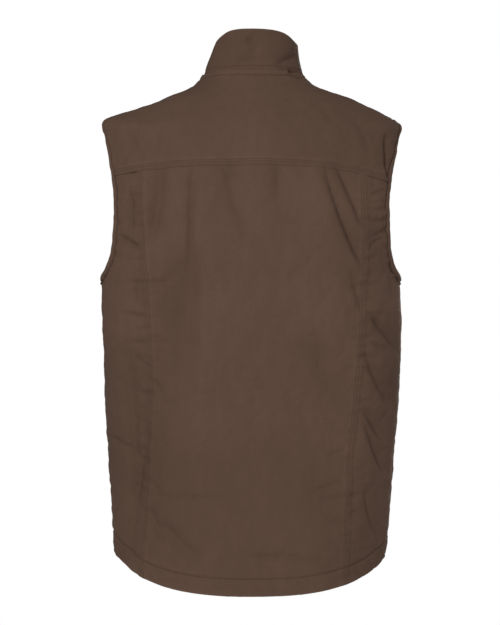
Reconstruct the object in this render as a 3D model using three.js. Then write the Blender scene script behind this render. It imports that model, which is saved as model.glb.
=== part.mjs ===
// A sleeveless canvas work vest in its worn form, in millimetres, +Z up.
// The back faces -Y, the wearer's right is +X, and the origin lies on the shoulder line at the neck.
// Every panel is cut from one smooth form, so that neighbouring edges run side by side.
import * as THREE from 'three';
import { ParametricGeometry } from 'three/addons/geometries/ParametricGeometry.js';
import { mergeGeometries, mergeVertices } from 'three/addons/utils/BufferGeometryUtils.js';

// Driving sizes
const CLOTH = 1.8;               // one layer of canvas
const COLLAR_WALL = 3.0;         // the folded collar
const BAND_WALL = 3.0;           // the turned armhole edge
const SEAM_GAP = 0.7;            // clear space between two panels
const YOKE_LAP = 0.9;            // the yoke lies this much prouder than the side panels
const CENTRE_LAP = 0.5;          // and the centre panel this much
const BAND_WIDTH = 14;           // width of the armhole band
const HEM_DEPTH = 24;            // height of the turned-up hem
const ZIP_OPENING = 12;          // space between the two front edges
const ZIP_COIL = 11.2;           // width of the closed zip in that space
const ZIP_TAPE = 28;             // width of the tape behind the front edges
const ZIP_TAPE_WALL = 1.2;
const ZIP_SETBACK = 0.3;         // the zip lies this far behind the cloth's face

// The rings of the body form, hem to neckline. up: distance up the centre back. left, right: half widths.
// back, front: depths. square: how square the section is. turn: how late the ring leaves its middle height
// for its side height. The z columns give the ring's height on each side.
const RING_COLUMNS = [
  'up', 'left', 'right', 'back', 'front', 'square', 'turn', 'zBack', 'zLeft', 'zRight', 'zFront',
];
const BODY_RINGS = table(RING_COLUMNS, [
  [0, 198, 193, 122, 122, 0.05, 2.4, -722, -665, -671, -668],
  [HEM_DEPTH, 200, 196, 121, 122, 0.05, 2.4, -698, -641, -647, -644],
  [124, 205, 201, 119, 124, 0.05, 3, -598, -574, -574, -576],
  [284, 212, 213, 120, 126, 0.06, 3, -438, -436, -436, -436],
  [374, 215, 216, 127, 128, 0.065, 3, -348, -348, -348, -348],
  [448, 214, 212, 131, 128, 0.065, 3, -275, -275, -275, -280],
  [538, 212, 212, 131, 124, 0.06, 2.5, -186, -194, -198, -214],
  [599, 212, 211, 123, 118, 0.045, 2, -125, -141, -153, -172],
  [645, 213, 214, 110, 111, 0.03, 2.5, -84, -78, -86, -134],
  [667, 210, 211, 102, 106, 0.03, 3, -66, -56, -60, -119],
  [681, 189, 193, 96, 103, 0.025, 3, -54, -48, -49, -110],
  [712, 149, 144, 82, 96, 0.02, 3.5, -28, -32.5, -24, -93],
  [741, 81, 90, 67, 86, 0, 4, 1, -4, -3, -77],
  [753, 69, 75, 62, 80, 0, 4, 14, 11, 11, -68],
]);
// The rings of the collar, from the neckline to its top edge.
const COLLAR_RINGS = table(RING_COLUMNS, [
  [0, 69, 75, 62, 80, 0, 4, 14, 11, 11, -68],
  [30, 62, 69.5, 64, 79, 0, 4, 43, 34, 34, -36],
  [58, 55, 66, 66, 77, 0, 4, 71, 53, 55, -4],
]);

// The armhole is an oval on the form, from the underarm to the shoulder tip.
const UNDERARM = 448;
const SHOULDER_TIP = 667;
const ARM_MID = 0.36;            // share of the armhole's height where it is widest
const ARM_REACH = { back: 32.5, front: 32 };  // degrees each way from the side
const ARM_ROUND = { back: 3.2, front: 2.4 };    // power of the oval's lower half
const UPPER_ROUND = 1.8;         // power of its upper half
const ARM_DEGREE = 3.5;          // mm of cloth for one degree beside the armhole
const TIP_STRETCH = 1.42;        // mm across the shoulder for one mm up the centre back

// Seams of the back: the yoke seam is one ring; the long seams are given by their distance from the middle.
const YOKE_SEAM = 599;
const LONG_SEAMS = table(['up', 'left', 'right'], [
  [0, 157, 134],
  [110, 158, 139],
  [190, 155, 141],
  [265, 149, 150],
  [350, 149, 157],
  [420, 151, 159],
  [540, 160, 160],
  [600, 160, 159],
]);
const SIDE_SEAM = Math.PI / 2;
const TURN = 2 * Math.PI;
const ANGLE_TOLERANCE = 1e-6;
const WELD = 1e-3;               // points closer than this are one point

// Worn folds of the back, as seen from behind: where each starts and ends, how far it bows sideways, its height
// (a ridge above zero, a furrow below), and how far it reaches on the left of its line, or under it, and on the
// right of it, or above.
const FOLDS = table(['x0', 'z0', 'x1', 'z1', 'bow', 'height', 'left', 'right'], [
  [94, -100, 150, -290, -4, 8, 34, 24],
  [158, -318, 211, -396, 4, 5, 12, 18],
  [154, -376, 200, -476, -3.4, 5.5, 12, 18],
  [152, -474, 193, -578, -4, 5.5, 12, 18],
  [158, -560, 188, -666, -6, 5, 12, 18],
  [188, -390, 178, -690, 0, -5, 34, 16],
  [-79, -100, -86, -300, 0, -5, 14, 15],
  [-84, -180, -106, -410, 2, -11, 28, 20],
  [-60, -240, -64, -460, 0, 5, 16, 26],
  [-128, -112, -143, -246, 4, -5, 13, 13],
  [-178, -360, -172, -690, 0, -12, 18, 44],
  [-132, -612, -62, -676, -6, -4, 14, 15],
  [80, -346, 126, -474, 2, -4, 17, 20],
]);
const FACE_CURVE = 1.5;          // power by which the faces of a fold run out
const FOLD_FADE = { none: -0.05, full: 0.2 };   // cosines of the angles between which folds fade out

// Numbers of cells
const CENTRE_COLUMNS = 18;
const SIDE_COLUMNS = 8;
const FRONT_COLUMNS = 11;
const COLLAR_COLUMNS = 36;
const COLLAR_ROWS = 5;
const BODY_ROWS = 14;
const LOWER_ARM_ROWS = 10;
const UPPER_ARM_ROWS = 7;
const SHOULDER_ROWS = 5;

const CANVAS = { color: 0x58453a, roughness: 0.92, metalness: 0 };
const ZIP = { color: 0x3a2e27, roughness: 0.6, metalness: 0.1 };

function table(columns, rows) {
  return rows.map((row) => Object.fromEntries(columns.map((name, i) => [name, row[i]])));
}

// The value of one column at a height, by a smooth curve through the rows.
function slope(rows, column, i) {
  const before = rows[Math.max(i - 1, 0)];
  const after = rows[Math.min(i + 1, rows.length - 1)];
  const here = rows[i];
  if (before === here || after === here) return (after[column] - before[column]) / (after.up - before.up);
  const rise = (after[column] - here[column]) / (after.up - here.up);
  const fall = (here[column] - before[column]) / (here.up - before.up);
  return (rise * (here.up - before.up) + fall * (after.up - here.up)) / (after.up - before.up);
}

function columnAt(rows, column, up) {
  let i = 0;
  while (i < rows.length - 2 && up > rows[i + 1].up) i += 1;
  const [low, high] = [rows[i], rows[i + 1]];
  const step = high.up - low.up;
  const t = (up - low.up) / step;
  const [t2, t3] = [t * t, t * t * t];
  return (2 * t3 - 3 * t2 + 1) * low[column] + (t3 - 2 * t2 + t) * step * slope(rows, column, i)
    + (3 * t2 - 2 * t3) * high[column] + (t3 - t2) * step * slope(rows, column, i + 1);
}

// A point of the form. The angle is 0 at the centre back, 90 degrees at the right side, 180 at the front.
function formPoint(rings, angle, up) {
  const at = (column) => columnAt(rings, column, up);
  const [sine, cosine] = [Math.sin(angle), Math.cos(angle)];
  const square = at('square');
  const across = (sine + square * Math.sin(3 * angle)) / (1 - square);
  const deep = (cosine - square * Math.cos(3 * angle)) / (1 - square);
  const zMiddle = at(cosine > 0 ? 'zBack' : 'zFront');
  const zSide = at(sine < 0 ? 'zLeft' : 'zRight');
  return new THREE.Vector3(
    across * at(sine < 0 ? 'left' : 'right'),
    -deep * at(cosine > 0 ? 'back' : 'front'),
    THREE.MathUtils.lerp(zMiddle, zSide, Math.abs(sine) ** at('turn')),
  );
}

function formNormal(rings, angle, up) {
  const [angleStep, upStep] = [0.01, 0.5];
  const along = formPoint(rings, angle + angleStep, up).sub(formPoint(rings, angle - angleStep, up));
  const rise = formPoint(rings, angle, up + upStep).sub(formPoint(rings, angle, up - upStep));
  return along.cross(rise).normalize();
}

function foldHeight(x, z) {
  let height = 0;
  for (const fold of FOLDS) {
    const run = new THREE.Vector2(fold.x1 - fold.x0, fold.z1 - fold.z0);
    const from = new THREE.Vector2(x - fold.x0, z - fold.z0);
    const t = THREE.MathUtils.clamp(from.dot(run) / run.lengthSq(), 0, 1);
    const inside = 4 * t * (1 - t);
    const side = run.cross(from) / run.length() - fold.bow * inside;
    const away = Math.abs(side) / (side < 0 ? fold.left : fold.right);
    height += fold.height * THREE.MathUtils.smoothstep(inside, 0, 1) * Math.exp(-(away ** FACE_CURVE));
  }
  return height;
}

// A point of the body, moved out along the normal; the folds fade out round the side.
function bodyPoint(angle, up, out) {
  const point = formPoint(BODY_RINGS, angle, up);
  const onBack = THREE.MathUtils.smoothstep(Math.cos(angle), FOLD_FADE.none, FOLD_FADE.full);
  const lift = out + onBack * foldHeight(point.x, point.z);
  return point.addScaledVector(formNormal(BODY_RINGS, angle, up), lift);
}

function collarPoint(angle, up, out) {
  return formPoint(COLLAR_RINGS, angle, up).addScaledVector(formNormal(COLLAR_RINGS, angle, up), out);
}

// The angle at which a ring passes a distance x from the middle, on the back or the front half.
function angleAt(rings, up, x, onFront) {
  let [low, high] = [-Math.PI / 2, Math.PI / 2];
  while (high - low > ANGLE_TOLERANCE) {
    const middle = (low + high) / 2;
    const angle = onFront ? Math.PI - middle : middle;
    if (formPoint(rings, angle, up).x < x) low = middle;
    else high = middle;
  }
  return onFront ? Math.PI - low : low;
}

// Where a row meets a long seam of the back, and where it meets the edge of a front.
function longSeam(side, up) {
  const x = columnAt(LONG_SEAMS, side, up);
  return { angle: angleAt(BODY_RINGS, up, side === 'left' ? -x : x, false), up };
}

function frontEdge(side, up) {
  const x = ZIP_OPENING / 2;
  return { angle: angleAt(BODY_RINGS, up, side === 'left' ? -x : x, true), up };
}

// Ovals at a distance from the armhole's rim: the rim itself, the band's far edge, and the panels' edge.
const ovalAround = (margin) => ({
  bottom: UNDERARM - margin,
  top: SHOULDER_TIP + margin / TIP_STRETCH,
  widen: margin / ARM_DEGREE,
});
const RIM = ovalAround(0);
const BAND_EDGE = ovalAround(BAND_WIDTH);
const PANEL_EDGE = ovalAround(BAND_WIDTH + SEAM_GAP);

// A point of such an oval; round is 0 at the underarm and half a turn at the shoulder tip.
function armPoint(oval, face, round) {
  const power = 2 / (round < Math.PI / 2 ? ARM_ROUND[face] : UPPER_ROUND);
  const wide = Math.sin(round) ** power;
  const tall = Math.abs(Math.cos(round)) ** power;
  const middle = THREE.MathUtils.lerp(oval.bottom, oval.top, ARM_MID);
  const up = THREE.MathUtils.lerp(middle, round < Math.PI / 2 ? oval.bottom : oval.top, tall);
  const reach = THREE.MathUtils.degToRad(ARM_REACH[face] + oval.widen) * wide;
  return { angle: face === 'back' ? SIDE_SEAM - reach : SIDE_SEAM + reach, up };
}

function steps(from, to, count) {
  return Array.from({ length: count + 1 }, (_, i) => from + (to - from) * i / count);
}

function between(from, to, count) {
  const ups = steps(from.up, to.up, count);
  return steps(from.angle, to.angle, count).map((angle, i) => ({ angle, up: ups[i] }));
}

// The rows of cells, shared by all panels so that their edges match. A row starts level at the middle of the
// vest; its far end lies on the side seam, on the armhole or on the shoulder seam.
const SHARE_AT_YOKE = (YOKE_SEAM - PANEL_EDGE.bottom) / (PANEL_EDGE.top - PANEL_EDGE.bottom);
const ROUND_AT_YOKE = Math.acos(-(((SHARE_AT_YOKE - ARM_MID) / (1 - ARM_MID)) ** (UPPER_ROUND / 2)));

const levelRow = (up) => ({ up, side: () => ({ angle: SIDE_SEAM, up }) });

function armRows(from, to, roundFrom, roundTo, count) {
  const rounds = steps(roundFrom, roundTo, count);
  return steps(from, to, count).map((up, i) => (
    { up, round: rounds[i], side: (face) => armPoint(PANEL_EDGE, face, rounds[i]) }
  ));
}

const HEM_ROWS = [0, HEM_DEPTH, HEM_DEPTH + 1].map(levelRow);
const TORSO_ROWS = steps(HEM_DEPTH + 1, PANEL_EDGE.bottom, BODY_ROWS).map(levelRow);
const LOWER_ROWS = armRows(PANEL_EDGE.bottom, YOKE_SEAM, 0, ROUND_AT_YOKE, LOWER_ARM_ROWS);
const UPPER_ROWS = armRows(YOKE_SEAM, PANEL_EDGE.top, ROUND_AT_YOKE, Math.PI, UPPER_ARM_ROWS);
const NECK_ROWS = steps(PANEL_EDGE.top, BODY_RINGS.at(-1).up, SHOULDER_ROWS).map(levelRow);
const BACK_ROWS = [...HEM_ROWS, ...TORSO_ROWS.slice(1, -1), ...LOWER_ROWS];
const YOKE_ROWS = [...UPPER_ROWS, ...NECK_ROWS.slice(1)];
const FRONT_ROWS = [...BACK_ROWS, ...YOKE_ROWS.slice(1)];

const wallAt = (up) => (up <= HEM_DEPTH ? 2 * CLOTH : CLOTH);

function patch(place, columns, rows) {
  const geometry = new ParametricGeometry((u, v, target) => {
    target.copy(place(Math.round(u * columns), Math.round(v * rows)));
  }, columns, rows);
  geometry.deleteAttribute('normal');
  geometry.deleteAttribute('uv');
  return geometry;
}

// Draws the edge of a grid in by half the seam gap.
function trimEdges(grid, closed) {
  const [last, end] = [grid.length - 1, grid[0].length - 1];
  const pull = (edge, next) => edge.addScaledVector(next.clone().sub(edge).normalize(), SEAM_GAP / 2);
  for (let i = 0; i <= end; i += 1) {
    pull(grid[0][i], grid[1][i]);
    pull(grid[last][i], grid[last - 1][i]);
  }
  if (closed) return grid;
  for (const row of grid) {
    pull(row[0], row[1]);
    pull(row[end], row[end - 1]);
  }
  return grid;
}

// A closed cloth wall between two grids of points, joined round the edges.
function wall(name, outer, inner, look, closed = false) {
  trimEdges(outer, closed);
  trimEdges(inner, closed);
  const [rows, columns] = [outer.length - 1, outer[0].length - 1];
  const patches = [
    patch((i, j) => outer[j][i], columns, rows),
    patch((i, j) => inner[j][columns - i], columns, rows),
    patch((i, k) => (k ? outer : inner)[0][i], columns, 1),
    patch((i, k) => (k ? inner : outer)[rows][i], columns, 1),
  ];
  if (!closed) {
    patches.push(patch((k, j) => (k ? outer : inner)[j][0], 1, rows));
    patches.push(patch((k, j) => (k ? inner : outer)[j][columns], 1, rows));
  }
  return finished(name, patches, look);
}

function finished(name, patches, look) {
  const geometry = mergeVertices(mergeGeometries(patches), WELD);
  geometry.computeVertexNormals();
  const mesh = new THREE.Mesh(geometry, new THREE.MeshStandardMaterial(look));
  mesh.name = name;
  return mesh;
}

// A panel of the body: across gives the points of one row, as angles and heights on the form.
function bodyPanel(name, rows, across, lap) {
  const grid = (depthAt) => rows.map((row) => (
    across(row).map((at) => bodyPoint(at.angle, at.up, lap - depthAt(at.up)))
  ));
  return wall(name, grid(() => 0), grid(wallAt), CANVAS);
}

const onLeft = (at) => ({ angle: -at.angle, up: at.up });
const ACROSS = {
  centre: (row) => between(longSeam('left', row.up), longSeam('right', row.up), CENTRE_COLUMNS),
  sideLeft: (row) => between(onLeft(row.side('back')), longSeam('left', row.up), SIDE_COLUMNS),
  sideRight: (row) => between(longSeam('right', row.up), row.side('back'), SIDE_COLUMNS),
  frontLeft: (row) => {
    const side = row.side('front');
    return between(frontEdge('left', row.up), { angle: TURN - side.angle, up: side.up }, FRONT_COLUMNS);
  },
  frontRight: (row) => between(row.side('front'), frontEdge('right', row.up), FRONT_COLUMNS),
};

// The yoke keeps the columns of the three panels below it, in the same shares of its width.
function backYoke() {
  const seam = YOKE_ROWS[0];
  const seamPoints = [
    ...ACROSS.sideLeft(seam), ...ACROSS.centre(seam).slice(1), ...ACROSS.sideRight(seam).slice(1),
  ];
  const shares = seamPoints.map((at) => at.angle / seam.side('back').angle);
  const across = (row) => shares.map((share) => {
    const side = row.side('back');
    return { angle: share * side.angle, up: THREE.MathUtils.lerp(row.up, side.up, Math.abs(share)) };
  });
  return bodyPanel('back_yoke', YOKE_ROWS, across, YOKE_LAP);
}

function collar() {
  const rows = steps(0, COLLAR_RINGS.at(-1).up, COLLAR_ROWS);
  const grid = (depth) => rows.map((up) => {
    const leftEdge = angleAt(COLLAR_RINGS, up, -ZIP_OPENING / 2, true) - TURN;
    const rightEdge = angleAt(COLLAR_RINGS, up, ZIP_OPENING / 2, true);
    return steps(leftEdge, rightEdge, COLLAR_COLUMNS).map((angle) => collarPoint(angle, up, -depth));
  });
  return wall('collar', grid(0), grid(COLLAR_WALL), CANVAS);
}

// The armhole band runs up the back edge and down the front edge, in the rows of the panels beside it.
function armholeBand(side) {
  const rounds = [...LOWER_ROWS, ...UPPER_ROWS.slice(1)].map((row) => row.round);
  const loop = (oval) => [
    ...rounds.map((round) => armPoint(oval, 'back', round)),
    ...rounds.slice(0, -1).reverse().map((round) => armPoint(oval, 'front', round)),
  ];
  const grid = (depth) => [RIM, BAND_EDGE].map((oval) => {
    const line = side === 'right' ? loop(oval) : loop(oval).map(onLeft).reverse();
    return line.map((at) => bodyPoint(at.angle, at.up, YOKE_LAP - depth));
  });
  return wall(`armhole_band_${side}`, grid(0), grid(BAND_WALL), CANVAS, true);
}

// The zip: a tape behind the front edges with the closed coil standing between them, hem to collar top.
function frontZip() {
  const tapeFront = 2 * CLOTH + 2 * SEAM_GAP;
  const tapeBack = tapeFront + ZIP_TAPE_WALL;
  const [coil, tape] = [ZIP_COIL / 2, ZIP_TAPE / 2];
  const section = [
    [coil, ZIP_SETBACK], [-coil, ZIP_SETBACK], [-coil, tapeFront], [-tape, tapeFront],
    [-tape, tapeBack], [tape, tapeBack], [tape, tapeFront], [coil, tapeFront],
  ];
  const station = (rings, place, up) => section.map(([x, depth]) => {
    const onForm = place(angleAt(rings, up, x, true), up, 0);
    return onForm.addScaledVector(formNormal(rings, Math.PI, up), -depth);
  });
  const neck = COLLAR_RINGS[0].up;
  const loops = [
    ...FRONT_ROWS.map((row) => station(BODY_RINGS, bodyPoint, row.up)),
    ...steps(neck, COLLAR_RINGS.at(-1).up, COLLAR_ROWS).map((up) => station(COLLAR_RINGS, collarPoint, up)),
  ];
  const [count, last] = [section.length, loops.length - 1];
  const sides = patch((i, j) => loops[j][i % count], count, last);
  const outline = section.map(([x, depth]) => new THREE.Vector2(x, depth));
  const faces = THREE.ShapeUtils.triangulateShape(outline, []);
  const cap = (loop, flip) => {
    const geometry = new THREE.BufferGeometry().setFromPoints(loop);
    geometry.setIndex(faces.flatMap(([a, b, c]) => (flip ? [a, c, b] : [a, b, c])));
    return geometry;
  };
  return finished('front_zip', [sides, cap(loops[0], false), cap(loops[last], true)], ZIP);
}

const group = new THREE.Group();
group.add(
  backYoke(),
  bodyPanel('back_centre_panel', BACK_ROWS, ACROSS.centre, CENTRE_LAP),
  bodyPanel('back_side_panel_left', BACK_ROWS, ACROSS.sideLeft, 0),
  bodyPanel('back_side_panel_right', BACK_ROWS, ACROSS.sideRight, 0),
  bodyPanel('front_panel_left', FRONT_ROWS, ACROSS.frontLeft, 0),
  bodyPanel('front_panel_right', FRONT_ROWS, ACROSS.frontRight, 0),
  collar(),
  armholeBand('left'),
  armholeBand('right'),
  frontZip(),
);

export default group;
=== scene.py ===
# %% [markdown]
# # A canvas work vest, seen from behind
#
# A sleeveless vest in brown cotton canvas. The back is cut from five flat pieces: a yoke across the
# shoulder blades, a centre panel with a dropped tail, a narrow panel on each side, and a stand collar. Each
# armhole is turned under and stitched. The fronts are plain and close with a zip.
#
# In this lesson the vest is sewn the way it is in the workshop: the worn form first, then the cuts laid on
# it, then the folds that wear has put into the cloth, and last the rows of thread.

import math

import bmesh
import bpy
import numpy as np
from mathutils import Matrix, Vector, noise


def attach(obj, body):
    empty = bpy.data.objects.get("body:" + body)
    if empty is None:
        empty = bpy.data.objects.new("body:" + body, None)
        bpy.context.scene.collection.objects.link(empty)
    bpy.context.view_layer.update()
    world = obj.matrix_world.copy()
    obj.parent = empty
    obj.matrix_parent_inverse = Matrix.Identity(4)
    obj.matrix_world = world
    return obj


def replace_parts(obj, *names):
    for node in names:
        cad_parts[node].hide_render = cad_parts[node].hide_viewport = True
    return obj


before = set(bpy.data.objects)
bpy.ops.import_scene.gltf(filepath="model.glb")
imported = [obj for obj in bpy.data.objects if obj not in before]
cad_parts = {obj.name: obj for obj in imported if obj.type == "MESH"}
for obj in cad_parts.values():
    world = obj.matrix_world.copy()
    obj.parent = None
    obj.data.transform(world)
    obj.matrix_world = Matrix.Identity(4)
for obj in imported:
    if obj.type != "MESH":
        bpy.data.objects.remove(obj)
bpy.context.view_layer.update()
MM = 0.001
print("solids:", sorted(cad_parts))

# %% [markdown]
# ## The studio
#
# A catalogue photograph of clothing is taken from far away with a long lens, level with the middle of the
# vest, so that the shoulders and the hem are both seen straight on. Three metres and a 120 mm lens do that.
# A paper backdrop could stand behind the vest, but a white world shows no edge from any side. The key lamp
# hangs up on the left, which leaves the folds just readable on dark cloth. One lamp lights the fronts, and
# three weak ones keep the sides and the rims from sinking into black.

# %% Camera
CAMERA_DISTANCE = 3.0
CAMERA_HEIGHT = -0.329
CAMERA_SIDE = -0.0022
LENS = 120
SENSOR = 36

scene = bpy.context.scene
camera_data = bpy.data.cameras.new("camera")
camera_data.lens = LENS
camera_data.sensor_width = SENSOR
camera = bpy.data.objects.new("camera", camera_data)
camera.location = (CAMERA_SIDE, -CAMERA_DISTANCE, CAMERA_HEIGHT)
camera.rotation_euler = (math.pi / 2, 0, 0)
scene.collection.objects.link(camera)
scene.camera = camera
scene.view_settings.view_transform = "Standard"
print("camera at", tuple(round(value, 3) for value in camera.location))

# %% Light
ROOM_LIGHT = 0.36
LAMPS = (
    # name, place, size in metres, watts
    ("key", (-0.8, -2.6, 0.7), 0.6, 55.5),
    ("front", (0.82, 2.6, 0.1), 0.6, 50),
    ("right", (2.5, 0.35, -0.05), 1.0, 7),
    ("right_rim", (2.0, 1.5, 0.5), 1.0, 15),
    ("left_rim", (-2.2, 1.6, -0.1), 1.0, 9),
)
AIM = Vector((0, 0, -0.33))

world = bpy.data.worlds.new("white_room")
world.use_nodes = True
sky = world.node_tree
background = sky.nodes["Background"]
rays = sky.nodes.new("ShaderNodeLightPath")
strength = sky.nodes.new("ShaderNodeMapRange")
strength.inputs["To Min"].default_value = ROOM_LIGHT
strength.inputs["To Max"].default_value = 1.0
sky.links.new(rays.outputs["Is Camera Ray"], strength.inputs["Value"])
sky.links.new(strength.outputs["Result"], background.inputs["Strength"])
background.inputs["Color"].default_value = (1, 1, 1, 1)
scene.world = world

for name, place, size, watts in LAMPS:
    lamp_data = bpy.data.lights.new(name, "AREA")
    lamp_data.size = size
    lamp_data.energy = watts
    lamp = bpy.data.objects.new(name, lamp_data)
    lamp.location = place
    lamp.rotation_euler = (AIM - Vector(place)).to_track_quat("-Z", "Y").to_euler()
    scene.collection.objects.link(lamp)

print("lamps:", [lamp[0] for lamp in LAMPS])

# %% Floor
FLOOR_HEIGHT = -0.97
FLOOR_RADIUS = 1.2
FLOOR_SIDES = 96
FLOOR_COLOUR = (0.8, 0.8, 0.8, 1)
FLOOR_ROUGHNESS = 0.9

bm = bmesh.new()
floor_place = Matrix.Translation((0, 0, FLOOR_HEIGHT))
bmesh.ops.create_circle(bm, cap_ends=True, segments=FLOOR_SIDES, radius=FLOOR_RADIUS, matrix=floor_place)
floor_mesh = bpy.data.meshes.new("floor")
bm.to_mesh(floor_mesh)
bm.free()
floor = bpy.data.objects.new("floor", floor_mesh)
scene.collection.objects.link(floor)
paint = bpy.data.materials.new("pale_floor")
paint.use_nodes = True
surface = paint.node_tree.nodes["Principled BSDF"]
surface.inputs["Base Color"].default_value = FLOOR_COLOUR
surface.inputs["Roughness"].default_value = FLOOR_ROUGHNESS
floor_mesh.materials.append(paint)
print("floor:", FLOOR_RADIUS, "m round,", FLOOR_HEIGHT, "m up")

# %% [markdown]
# ## The worn form
#
# A worn vest is a smooth shape with an oval section at every height. It could be sculpted, or draped by a
# cloth simulation, but a pattern cutter works from girths, and so does this table, which can be read and
# changed. It gives one ring per row: how far up the centre back it lies, its half widths, its depths, how
# square it is, how late it turns from the middle's height to the side's, and the heights at which it passes
# the back, the sides and the front. A smooth curve through each column gives every ring between. All panels
# are cut from this one form, so the edges of neighbours meet. Sizes are in millimetres until a mesh is
# made.

# %% Rings
HEM_DEPTH = 24
WAIST = 284
UNDERARM = 448
YOKE_SEAM = 599
SHOULDER_TIP = 667
BODY_TOP = 753
COLLAR_TOP = 58
RING_COLUMNS = (
    "up", "left", "right", "back", "front", "square", "turn", "z_back", "z_left", "z_right", "z_front",
)


def table(columns, rows):
    return dict(zip(columns, np.array(rows, float).T))


BODY = table(RING_COLUMNS, [
    (0, 198, 193, 122, 122, 0.05, 2.4, -722, -665, -671, -668),
    (HEM_DEPTH, 200, 196, 121, 122, 0.05, 2.4, -698, -641, -647, -644),
    (124, 205, 201, 119, 124, 0.05, 3, -598, -574, -574, -576),
    (WAIST, 212, 213, 120, 126, 0.06, 3, -438, -436, -436, -436),
    (374, 215, 216, 127, 128, 0.065, 3, -348, -348, -348, -348),
    (UNDERARM, 214, 212, 131, 128, 0.065, 3, -275, -275, -275, -280),
    (538, 212, 212, 131, 124, 0.06, 2.5, -186, -194, -198, -214),
    (YOKE_SEAM, 212, 211, 123, 118, 0.045, 2, -125, -141, -153, -172),
    (645, 213, 214, 110, 111, 0.03, 2.5, -84, -78, -86, -134),
    (SHOULDER_TIP, 210, 211, 102, 106, 0.03, 3, -66, -56, -60, -119),
    (681, 189, 193, 96, 103, 0.025, 3, -54, -48, -49, -110),
    (712, 149, 144, 82, 96, 0.02, 3.5, -28, -32.5, -24, -93),
    (741, 81, 90, 67, 86, 0, 4, 1, -4, -3, -77),
    (BODY_TOP, 69, 75, 62, 80, 0, 4, 14, 11, 11, -68),
])
COLLAR = table(RING_COLUMNS, [
    (0, 69, 75, 62, 80, 0, 4, 14, 11, 11, -68),
    (30, 62, 69.5, 64, 79, 0, 4, 43, 34, 34, -36),
    (COLLAR_TOP, 55, 66, 66, 77, 0, 4, 71, 53, 55, -4),
])
print("rings of the body and of the collar:", len(BODY["up"]), len(COLLAR["up"]))

# %% Points of the form
ANGLE_STEP = 0.01
UP_STEP = 0.5
HALVINGS = 40


def curve_at(rows, column, up):
    """The value of one column at each height, by a smooth curve through the rows."""
    ups, values = rows["up"], rows[column]
    slopes = np.gradient(values, ups)
    i = np.clip(np.searchsorted(ups, up) - 1, 0, len(ups) - 2)
    step = ups[i + 1] - ups[i]
    t = (up - ups[i]) / step
    rise = t * t * (3 - 2 * t)
    leave = t * (1 - t) ** 2 * step * slopes[i]
    arrive = t * t * (t - 1) * step * slopes[i + 1]
    return values[i] * (1 - rise) + values[i + 1] * rise + leave + arrive


def form_point(rings, angle, up):
    """Points of the form. The angle is 0 at the centre back, 90 degrees at the right side, 180 in front."""
    sine, cosine = np.sin(angle), np.cos(angle)
    square = curve_at(rings, "square", up)
    across = (sine + square * np.sin(3 * angle)) / (1 - square)
    deep = (cosine - square * np.cos(3 * angle)) / (1 - square)
    half_width = np.where(sine < 0, curve_at(rings, "left", up), curve_at(rings, "right", up))
    depth = np.where(cosine > 0, curve_at(rings, "back", up), curve_at(rings, "front", up))
    z_middle = np.where(cosine > 0, curve_at(rings, "z_back", up), curve_at(rings, "z_front", up))
    z_side = np.where(sine < 0, curve_at(rings, "z_left", up), curve_at(rings, "z_right", up))
    z = z_middle + (z_side - z_middle) * np.abs(sine) ** curve_at(rings, "turn", up)
    return np.stack([across * half_width, -deep * depth, z], axis=-1)


def form_normal(rings, angle, up):
    """Directions straight out of the form."""
    around = form_point(rings, angle + ANGLE_STEP, up) - form_point(rings, angle - ANGLE_STEP, up)
    rise = form_point(rings, angle, up + UP_STEP) - form_point(rings, angle, up - UP_STEP)
    normal = np.cross(around, rise)
    return normal / np.linalg.norm(normal, axis=-1, keepdims=True)


def angle_at(rings, up, x, on_front=False):
    """The angles at which rings pass a distance x from the middle, found by halving."""
    low = np.full_like(up, -math.pi / 2)
    high = -low
    for _ in range(HALVINGS):
        middle = (low + high) / 2
        angle = math.pi - middle if on_front else middle
        short = form_point(rings, angle, up)[..., 0] < x
        low = np.where(short, middle, low)
        high = np.where(short, high, middle)
    return math.pi - low if on_front else low


waist = form_point(BODY, np.radians([-90, 90]), np.full(2, WAIST))
print("width at the waist, mm:", round(waist[1, 0] - waist[0, 0], 1))

# %% [markdown]
# ## Seams and armholes
#
# The long seams of the back swing in towards the waist and out again, which shapes flat cloth to a body.
# They are given by their distance from the middle at a few heights. An armhole is an oval on the form,
# squarer below than above. It could be cut out of a finished surface, which leaves a ragged rim. Here every
# row of a panel starts level at the middle and ends on the side seam, on the armhole or on the shoulder, so
# the mesh follows the cut edge.

# %% Seam lines
LONG_SEAMS = table(("up", "left", "right"), [
    (0, 157, 134),
    (110, 158, 139),
    (190, 155, 141),
    (265, 149, 150),
    (350, 149, 157),
    (420, 151, 159),
    (540, 160, 160),
    (600, 160, 159),
])
SIDE_SEAM = math.pi / 2
ZIP_OPENING = 12
ARM_MID = 0.36
ARM_REACH = {"back": 32.5, "front": 32}
ARM_ROUND = {"back": 3.2, "front": 2.4}
UPPER_ROUND = 1.8
BAND_WIDTH = 14
MM_PER_DEGREE = 3.5
TIP_STRETCH = 1.42


def oval_around(margin):
    """The armhole's oval, drawn a margin outside its rim."""
    return {
        "bottom": UNDERARM - margin,
        "top": SHOULDER_TIP + margin / TIP_STRETCH,
        "widen": margin / MM_PER_DEGREE,
    }


PANEL_EDGE = oval_around(BAND_WIDTH)
SHARE_AT_YOKE = (YOKE_SEAM - PANEL_EDGE["bottom"]) / (PANEL_EDGE["top"] - PANEL_EDGE["bottom"])
ROUND_AT_YOKE = math.acos(-(((SHARE_AT_YOKE - ARM_MID) / (1 - ARM_MID)) ** (UPPER_ROUND / 2)))


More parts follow.
